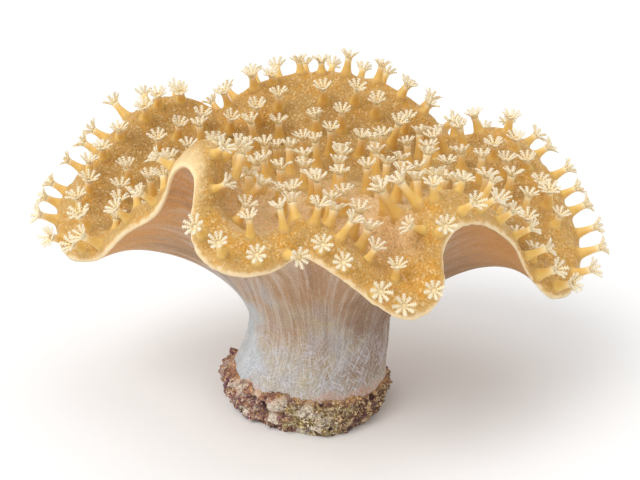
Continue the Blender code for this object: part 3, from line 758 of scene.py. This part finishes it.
def make_rock():
    """The crusted rock, row by row from behind its rim, down its side and under its cut base."""
    angle = np.arange(ROCK_COLUMNS) / ROCK_COLUMNS * 2 * math.pi
    ray = np.stack([np.cos(angle), np.sin(angle), 0 * angle], axis=-1)
    centre = np.array([-CAP_AXIS[0], 0.0, 0.0])
    rim = RIM_HEIGHT + RIM_RIGHT * np.cos(angle) + RIM_BACK * np.sin(angle)
    rim += RIM_SIDES * np.cos(2 * angle) + RIM_WAVES * rock_lumps(angle, RIM_WAVE_LEVEL)
    rim += rough(ray * RIM_MIDDLE, RIM_WAVER) + rough(ray * RIM_MIDDLE, RIM_GRIT)
    rows = [stalk_at(angle, rim - below) + ray * deep for deep, below in TUCKED_ROWS]
    shares, reaches, roughs = (np.array(column)[::-1] for column in zip(*ROCK_PROFILE))
    levels = np.linspace(1.0, 0.0, ROCK_OUTER_ROWS)
    for share in levels:
        height = rim * share
        reach = np.interp(share, shares, reaches)
        reach = reach + np.interp(share, shares, roughs) * rock_lumps(angle, height)
        reach += bump_at(angle, TOE) * (1 - share) + bump_at(angle, KNOB) * share**3
        crust = centre + ray * reach[:, None] + UP * height[:, None]
        stalk = stalk_at(angle, height) + ray * RIM_GAP
        rows.append(stalk + (crust - stalk) * smooth((1 - share) / RIM_TAPER))
    for share in BASE_SHARES:
        rows.append(centre + (rows[-1] - centre) * share)
    grid = np.array(rows)
    normals = grid_normals(grid)
    strength = np.zeros(len(grid))
    outer = slice(len(TUCKED_ROWS), -len(BASE_SHARES))
    strength[outer] = RIM_ROUGHNESS + (1 - RIM_ROUGHNESS) * smooth((1 - levels) / RIM_TAPER)
    nodules, knobs, buttons = (np.abs(wander(grid, *kind)) for kind in (NODULES, KNOBS, BUTTONS))
    relief = NODULE_HEIGHT * nodules + KNOB_HEIGHT * knobs + BUTTON_HEIGHT * buttons - CRUST_SINK
    relief += rough(grid, CRUST_GRIT)
    # Where the lumps meet; the crust's finish darkens these creases as painted shade.
    creases = np.exp(-((nodules / NODULE_CREASE) ** 2))
    creases = np.maximum(creases, KNOB_CREASE_SHARE * np.exp(-((knobs / KNOB_CREASE) ** 2)))
    dice = np.random.default_rng(PIT_SEED)
    pits = np.zeros(grid.shape[:2])
    for number in range(PITS):
        lowest = ROCK_OUTER_ROWS // 2 if number % 3 else ROCK_OUTER_ROWS - PIT_MARGIN
        row, column = dice.integers(PIT_MARGIN, lowest), dice.integers(0, ROCK_COLUMNS)
        away = np.sqrt(((grid - grid[row, column]) ** 2).sum(-1)) / dice.uniform(*PIT_WIDTHS)
        relief += PIT_LIP * np.exp(-(((away - PIT_LIP_REACH) / PIT_LIP_WIDTH) ** 2))
        pits = np.maximum(pits, np.exp(-(away**2)))
    relief -= PIT_DEPTH * pits
    grid = grid + normals * (relief * strength[:, None])[..., None]
    grid[..., 2] = np.maximum(grid[..., 2], 0.0)
    grid[-len(BASE_SHARES) - 1 :, :, 2] = 0.0
    rock, row, column = pressed("crusted_rock", grid, centre + UP * ROCK_TOP, centre)
    spots = grid[row, column]
    turn = np.degrees(np.arctan2(spots[:, 1], spots[:, 0] - centre[0])) + rough(spots, PATCH_WAVER)
    note(rock, "left_side", ramp(-turn, *LEFT_FRONT) + ramp(turn, *LEFT_BACK))
    note(rock, "right_side", ramp(turn, *RIGHT_FRONT) * ramp(-turn, *RIGHT_BACK))
    note(rock, "pit", pits[row, column])
    note(rock, "crease", creases[row, column])
    note(rock, "bloom", rough(spots, BLOOM))
    note(rock, "from_rim", 1 - np.clip(spots[:, 2] / rim[column], 0, 1))
    return rock


# ---------------- finishes
FIRST_COLOUR, SECOND_COLOUR, MIXED_COLOUR = 6, 7, 2  # places of the mix node's sockets for colours


def tone(red, green, blue):
    """A colour from its everyday 0 to 255 values."""
    values = np.array([red, green, blue]) / 255
    linear = np.where(values <= 0.04045, values / 12.92, ((values + 0.055) / 1.055) ** 2.4)
    return (*linear.tolist(), 1.0)


class Finish:
    """One material and the nodes that work out its colour, roughness and relief."""

    def __init__(self, name):
        self.material = bpy.data.materials.new(name)
        self.material.use_nodes = True
        self.place = self.node("TexCoord", "Object")

    def put(self, socket, value):
        """Links a socket, or sets it; a colour is given by its everyday values."""
        if isinstance(value, bpy.types.NodeSocket):
            self.material.node_tree.links.new(value, socket)
        else:
            socket.default_value = tone(*value) if socket.type == "RGBA" else value

    def node(self, kind, output, inputs=(), **settings):
        """One output of a new node, once its settings and inputs are filled in."""
        node = self.material.node_tree.nodes.new("ShaderNode" + kind)
        for name, value in settings.items():
            setattr(node, name, value)
        for name, value in dict(inputs).items():
            self.put(node.inputs[name], value)
        return node.outputs[output]

    def noted(self, name, output="Fac"):
        return self.node("Attribute", output, attribute_name=name)

    def noise(self, size, detail=3.0, roughness=0.5, vector=None):
        """Cloudy noise in patches so many millimetres across, in space or along a vector in millimetres."""
        inputs = {"Vector": vector or self.place, "Scale": 1 / (size if vector else size * MM)}
        return self.node("TexNoise", "Fac", {**inputs, "Detail": detail, "Roughness": roughness})

    def streaks(self, vector, size, detail, roughness, slowness):
        """Noise that runs on along the vector's third part, which counts for less."""
        vector = self.node("Mapping", "Vector", {"Vector": vector, "Scale": (1.0, 1.0, slowness)})
        return self.noise(size, detail, roughness, vector)

    def cells(self, size, output="Distance"):
        """Grains of the given size: their distance field or a random colour each."""
        return self.node("TexVoronoi", output, {"Vector": self.place, "Scale": 1 / (size * MM)})

    def fade(self, value, low, high, end=1.0, start=0.0):
        """Goes from start, where the value is low, to end, where it is high, gently at both."""
        inputs = {"Value": value, "From Min": low, "From Max": high, "To Min": start, "To Max": end}
        return self.node("MapRange", "Result", inputs, interpolation_type="SMOOTHSTEP")

    def worked(self, kind, *values):
        return self.node("Math", "Value", enumerate(values), operation=kind)

    def times(self, first, second):
        return self.worked("MULTIPLY", first, second)

    def strayed(self, value, cloud, most):
        """The value, made larger or smaller by the cloud."""
        return self.worked("ADD", value, self.fade(cloud, 0.3, 0.7, most, -most))

    def mixed(self, share, first, second):
        inputs = {"Factor": share, FIRST_COLOUR: first, SECOND_COLOUR: second}
        return self.node("Mix", MIXED_COLOUR, inputs, data_type="RGBA")

    def layered(self, colour, *layers):
        """Lays colours over the first one, each by its own share."""
        for share, over in layers:
            colour = self.mixed(share, colour, over)
        return colour

    def palette(self, value, colours):
        """One of the colours, each for an even share of the value's range from 0 to 1."""
        chosen = self.node("ValToRGB", "Color", {"Fac": value})
        chosen.node.color_ramp.interpolation = "CONSTANT"
        stops = chosen.node.color_ramp.elements
        stops.remove(stops[1])
        for number, colour in enumerate(colours):
            stop = stops.new(number / len(colours)) if number else stops[0]
            stop.color = tone(*colour)
        return chosen

    def threads(self, vector, size, width):
        """A web of thin lines, 1 on a line and 0 between them."""
        cloud = self.noise(size, 2.0, 0.5, vector)
        return self.fade(self.worked("ABSOLUTE", self.worked("SUBTRACT", cloud, 0.5)), width, 0.0)

    def relief(self, height, depth, *under):
        """Fine relief, depth millimetres deep, over the relief under it, if any."""
        normal = self.node("Bump", "Normal", {"Height": height, "Distance": depth * MM})
        for finer in under:
            self.put(normal.node.inputs["Normal"], finer)
        return normal

    def done(self, colour, normal, roughness, soft=0.0, reach=(1.0, 0.5, 0.25), depth=1.0, sheen=0.0):
        """Links the colour, relief and roughness, and sets how soft and downy the surface looks."""
        inputs = {
            "Base Color": colour,
            "Normal": normal,
            "Roughness": roughness,
            "Subsurface Weight": soft,
            "Subsurface Radius": reach,
            "Subsurface Scale": depth * MM,
            "Sheen Weight": sheen,
            "Sheen Roughness": 0.4,
            "Sheen Tint": (255, 236, 200),
            "Specular IOR Level": 0.35,
        }
        for name, value in inputs.items():
            self.put(self.material.node_tree.nodes["Principled BSDF"].inputs[name], value)
        return self.material


def flesh_finish():
    """Grained golden skin on the cap, ribbed tan and mauve flesh beneath it and a pale, fibrous stalk."""
    f = Finish("coral_skin")
    run, grain = f.noted("from_edge"), f.noted("grain", "Vector")
    side, deep, height = (f.node("SeparateXYZ", axis, {"Vector": f.place}) for axis in "XYZ")
    off_middle = f.worked("ABSOLUTE", side)
    patch = f.noise(13.0, 2.0)

    # Cap: golden tan, pinker in the dish's front and browner at its back and sides, honey in patches and
    # round the polyps, finely beaded and grained, with the beads' tops paler, partly their own cream and
    # partly painted highlight, and painted shade between them, paler along the lip, and a painted highlight
    # on the tall fold's crest.
    in_front = f.fade(f.strayed(deep, patch, 0.006), 0.012, -0.012)
    dish = f.mixed(in_front, (186, 146, 78), (232, 194, 142))
    dish = f.mixed(f.fade(off_middle, 0.036, 0.056, 0.7), dish, (174, 132, 64))
    honey = f.fade(f.noise(7.0, 3.0, 0.6), 0.46, 0.64)
    beads, grains = f.cells(0.62), f.cells(0.55, "Color")
    edge = f.strayed(run, f.noise(2.0), 0.5)
    # Painted highlight: paler where the tall fold's crest stands high in front of the cap.
    crest = f.times(f.fade(height, 0.066, 0.078), f.fade(deep, -0.02, -0.032, 0.6))
    cap = f.layered(
        f.mixed(f.fade(f.strayed(run, patch, 5.0), 11.0, 27.0), (202, 158, 84), dish),
        (f.times(honey, f.fade(run, 34.0, 8.0, 0.75, 0.2)), (214, 154, 44)),
        (f.fade(f.noise(2.6, 4.0, 0.65), 0.5, 0.75, 0.5), (170, 128, 72)),
        (f.fade(f.noted("near_polyp"), 0.25, 0.95, 0.6), (220, 160, 52)),
        # bead tops paler, partly their own cream and partly painted highlight; the gaps between beads
        # darker, as painted shade
        (f.fade(beads, 0.42, 0.12, 0.32), (240, 210, 152)),
        (f.fade(beads, 0.5, 0.8, 0.3), (160, 112, 46)),
        (f.fade(grains, 0.68, 0.86, 0.42), (248, 226, 178)),
        (f.fade(f.cells(0.45, "Color"), 0.3, 0.14, 0.3), (152, 108, 52)),
        (f.fade(edge, 3.8, 0.8, 0.4), (232, 194, 130)),
        (f.fade(edge, 1.7, 0.3, 0.8), (248, 226, 186)),
        # painted highlight on the fold's crest, near the lip's edge
        (f.times(crest, f.fade(run, 8.0, 2.0)), (250, 224, 172)),
    )

    # Underside: deeper orange-tan by the lip, partly a painted glow of light through the thin flesh,
    # browner further in, with mauve ribs that fade towards the two sides.
    ribs, fibres = f.streaks(grain, 1.1, 2.0, 0.5, 0.03), f.streaks(grain, 0.45, 3.0, 0.6, 0.05)
    ribbed = f.times(f.fade(off_middle, 0.058, 0.03), f.fade(run, -4.0, -18.0, 1.0, 0.25))
    under = f.layered(
        f.mixed(f.fade(run, -3.0, -26.0), (208, 148, 80), (173, 132, 93)),
        (f.times(ribbed, f.fade(ribs, 0.46, 0.66, 0.55)), (192, 164, 142)),
        (f.times(ribbed, f.fade(ribs, 0.48, 0.34, 0.6)), (164, 122, 82)),
    )

    # Stalk: ribbed tan above, cream and grey below, browner on the right as painted shade under the
    # drooping lobe, bluish on the left, partly its own tint and partly painted light on its lit side, with
    # pale fibres that cross each other near the foot and a pink and rusty seam at the rock.
    middle = f.fade(off_middle, 0.05, 0.024, 1.0, 0.2)
    above = f.times(middle, f.fade(height, 0.012, 0.028, 1.0, 0.25))
    cloud, fuzz = f.noise(6.0, 3.0, 0.55), f.noise(0.4, 2.0, 0.6)
    cream = f.mixed(f.fade(cloud, 0.38, 0.62), (165, 158, 154), (180, 168, 138))
    moved = f.strayed(side, patch, 0.006)
    # the stalk's right side, where painted shade from the drooping right lobe goes
    right = f.times(f.fade(moved, 0.003, 0.02), f.fade(height, 0.004, 0.018))
    stem = f.layered(
        f.mixed(f.fade(f.strayed(height, patch, 0.006), 0.04, 0.02), under, cream),
        (f.times(above, f.fade(ribs, 0.5, 0.68, 0.35)), (206, 192, 174)),
        (f.times(above, f.fade(ribs, 0.48, 0.34, 0.45)), (160, 134, 106)),
        # painted shade: browner on the right, under the drooping lobe
        (f.times(right, f.fade(height, 0.05, 0.034)), (128, 94, 64)),
        # bluish grey on the left: partly the stalk's own tint, partly painted light on its lit side
        (f.times(f.fade(moved, -0.009, -0.019), f.fade(height, 0.046, 0.032, 0.85)), (172, 183, 190)),
        (f.times(middle, f.fade(fibres, 0.5, 0.7, 0.3)), (220, 210, 204)),
        (f.times(middle, f.fade(fibres, 0.46, 0.3, 0.3)), (144, 116, 92)),
    )
    low = f.fade(height, 0.034, 0.016)
    for name in ("slant_left", "slant_right"):
        for size, strength in ((1.5, 0.5), (0.8, 0.4)):
            web = f.times(f.threads(f.noted(name, "Vector"), size, 0.035), low)
            stem = f.mixed(f.times(web, strength), stem, (214, 217, 226))
    seam = f.fade(f.strayed(height, cloud, 0.002), 0.0108, 0.0088)
    rusty = f.times(seam, f.fade(f.noise(0.9, 3.0, 0.6), 0.56, 0.68))
    stem = f.layered(
        stem,
        (f.times(middle, f.fade(fuzz, 0.5, 0.72, 0.3)), (226, 220, 214)),
        (f.fade(fuzz, 0.5, 0.28, 0.35), (140, 120, 106)),
        (f.times(seam, 0.45), (206, 160, 136)),
        (f.times(rusty, 0.7), (176, 112, 66)),
    )
    colour = f.mixed(f.fade(run, -1.2, -0.1), stem, cap)

    bead_height = f.times(f.worked("SUBTRACT", 1.0, beads), f.fade(run, 0.2, 2.0))
    normal = f.relief(bead_height, 0.3)
    normal = f.relief(f.noise(2.4, 4.0, 0.6), 0.45, normal)
    normal = f.relief(f.times(ribs, f.times(ribbed, above)), 0.45, normal)
    roughness = f.fade(grains, 0.2, 0.8, 0.62, 0.45)
    return f.done(colour, normal, roughness, 0.2, (1.0, 0.55, 0.25), 1.4, 0.3)


def polyp_finish():
    """Honey columns, paler towards the rim, and cream feathered tentacles, all softly lit through."""
    f = Finish("polyp_flesh")
    rise = f.noted("rise")
    specks = f.times(f.fade(f.noise(1.0, 3.0, 0.6), 0.5, 0.7), f.fade(rise, 0.35, 0.0))
    stem = f.layered(
        f.mixed(f.fade(rise, 0.0, 0.22), (204, 160, 88), (226, 188, 104)),
        (f.fade(rise, 0.45, 0.9), (240, 210, 146)),
        (f.fade(f.noted("tint"), 0.2, 1.0, 0.4), (216, 174, 92)),
        (f.times(specks, 0.5), (176, 128, 70)),
    )
    feather = f.mixed(f.fade(rise, 1.1, 1.6), (252, 226, 180), (254, 231, 192))
    colour = f.mixed(f.fade(rise, 0.74, 1.0), stem, feather)
    normal = f.relief(f.noise(0.6), 0.06)
    return f.done(colour, normal, 0.45, 0.6, (1.0, 0.85, 0.65), 1.4, 0.25)


def rock_finish():
    """Crust of fine grains: purple on the left, olive and cream in front, brown on the right, with painted
    shade darkening its creases and pits.
    """
    f = Finish("rock_crust")
    bloom, right = f.noted("bloom"), f.noted("right_side")
    dice = f.cells(0.42, "Color")
    colour = f.mixed(f.noted("left_side"), f.palette(dice, FRONT_GRAINS), f.palette(dice, LEFT_GRAINS))
    cloud, mottle = f.noise(3.0, 3.0, 0.6), f.noise(1.7, 4.0, 0.62)
    grit = f.noise(0.6, 3.0, 0.65)
    pale = f.times(f.fade(bloom, 0.25, 0.85), f.worked("SUBTRACT", 1.0, right))
    rim = f.times(f.fade(f.noted("from_rim"), 0.2, 0.03), f.fade(grit, 0.4, 0.6, 0.7, 0.15))
    colour = f.layered(
        f.mixed(right, colour, f.palette(dice, RIGHT_GRAINS)),
        (f.fade(cloud, 0.4, 0.7, 0.5), (158, 134, 84)),
        (f.fade(mottle, 0.52, 0.34, 0.75), (88, 52, 54)),
        (f.fade(mottle, 0.54, 0.72, 0.5), (222, 196, 166)),
        (f.times(pale, f.fade(grit, 0.38, 0.56, 0.95, 0.25)), (226, 214, 196)),
        (f.fade(bloom, -0.55, -1.1, 0.7), (92, 52, 62)),
        (rim, (196, 142, 92)),
        # painted shade darkening the creases between the lumps
        (f.fade(f.noted("crease"), 0.3, 0.9, 0.6), (84, 54, 48)),
        # painted shade inside the pits
        (f.fade(f.noted("pit"), 0.3, 0.7, 0.95), (62, 24, 26)),
    )
    normal = f.relief(f.worked("SUBTRACT", 1.0, f.cells(1.0)), 0.4)
    normal = f.relief(f.noise(0.5, 3.0, 0.6), 0.25, normal)
    return f.done(colour, normal, 0.8)


def coat(piece, material):
    piece.data.materials.clear()
    piece.data.materials.append(material)


# ---------------- studio
def studio():
    bpy.ops.object.select_all(action="DESELECT")
    bpy.ops.mesh.primitive_plane_add(size=6.0, location=(0, 0, 0))
    floor = bpy.context.object
    floor.name = "floor"
    pale = bpy.data.materials.new("pale_floor")
    pale.use_nodes = True
    shader = pale.node_tree.nodes["Principled BSDF"]
    shader.inputs["Base Color"].default_value = (0.9, 0.9, 0.9, 1)
    shader.inputs["Roughness"].default_value = 0.9
    coat(floor, pale)

    # Air that lights the piece softly, but is plain white where the camera sees it.
    world = bpy.data.worlds.new("studio_air")
    world.use_nodes = True
    nodes, links = world.node_tree.nodes, world.node_tree.links
    soft_air, white_wall = nodes["Background"], nodes.new("ShaderNodeBackground")
    for air, strength in ((soft_air, 0.8), (white_wall, 1.0)):
        air.inputs["Color"].default_value = (1.0, 1.0, 1.0, 1)
        air.inputs["Strength"].default_value = strength
    choice = nodes.new("ShaderNodeMixShader")
    links.new(nodes.new("ShaderNodeLightPath").outputs["Is Camera Ray"], choice.inputs[0])
    links.new(soft_air.outputs[0], choice.inputs[1])
    links.new(white_wall.outputs[0], choice.inputs[2])
    links.new(choice.outputs[0], nodes["World Output"].inputs["Surface"])
    bpy.context.scene.world = world

    lamps = {"key_light": ((-0.5, -0.45, 0.75), 1.4), "top_light": ((0.1, 0.1, 1.0), 0.3)}
    for name, (place, strength) in lamps.items():
        lamp = bpy.data.lights.new(name, "SUN")
        lamp.angle = math.radians(40)
        lamp.energy = strength
        light = bpy.data.objects.new(name, lamp)
        light.rotation_euler = (-Vector(place)).to_track_quat("-Z", "Y").to_euler()
        bpy.context.scene.collection.objects.link(light)


def camera():
    target, rise, distance = Vector((0.004, 0.0, 0.048)), math.radians(18), 0.3
    eye = bpy.data.cameras.new("camera")
    eye.lens = 60.0
    eye.sensor_width = 36.0
    eye.clip_start = 0.01
    stand = bpy.data.objects.new("camera", eye)
    stand.location = target + Vector((0, -math.cos(rise), math.sin(rise))) * distance
    stand.rotation_euler = (target - stand.location).to_track_quat("-Z", "Y").to_euler()
    bpy.context.scene.collection.objects.link(stand)
    bpy.context.scene.camera = stand


places = polyp_places()
flesh = make_flesh(places)
crowds = make_polyps(places, flesh)
rock = make_rock()
coat(flesh, flesh_finish())
soft = polyp_finish()
for crowd in crowds:
    coat(crowd, soft)
coat(rock, rock_finish())

for piece in (flesh, *crowds):
    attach(piece, "root")
    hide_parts("colony")
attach(rock, "root")
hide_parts("rock_base")

studio()
camera()
bpy.context.scene.view_settings.view_transform = "Standard"
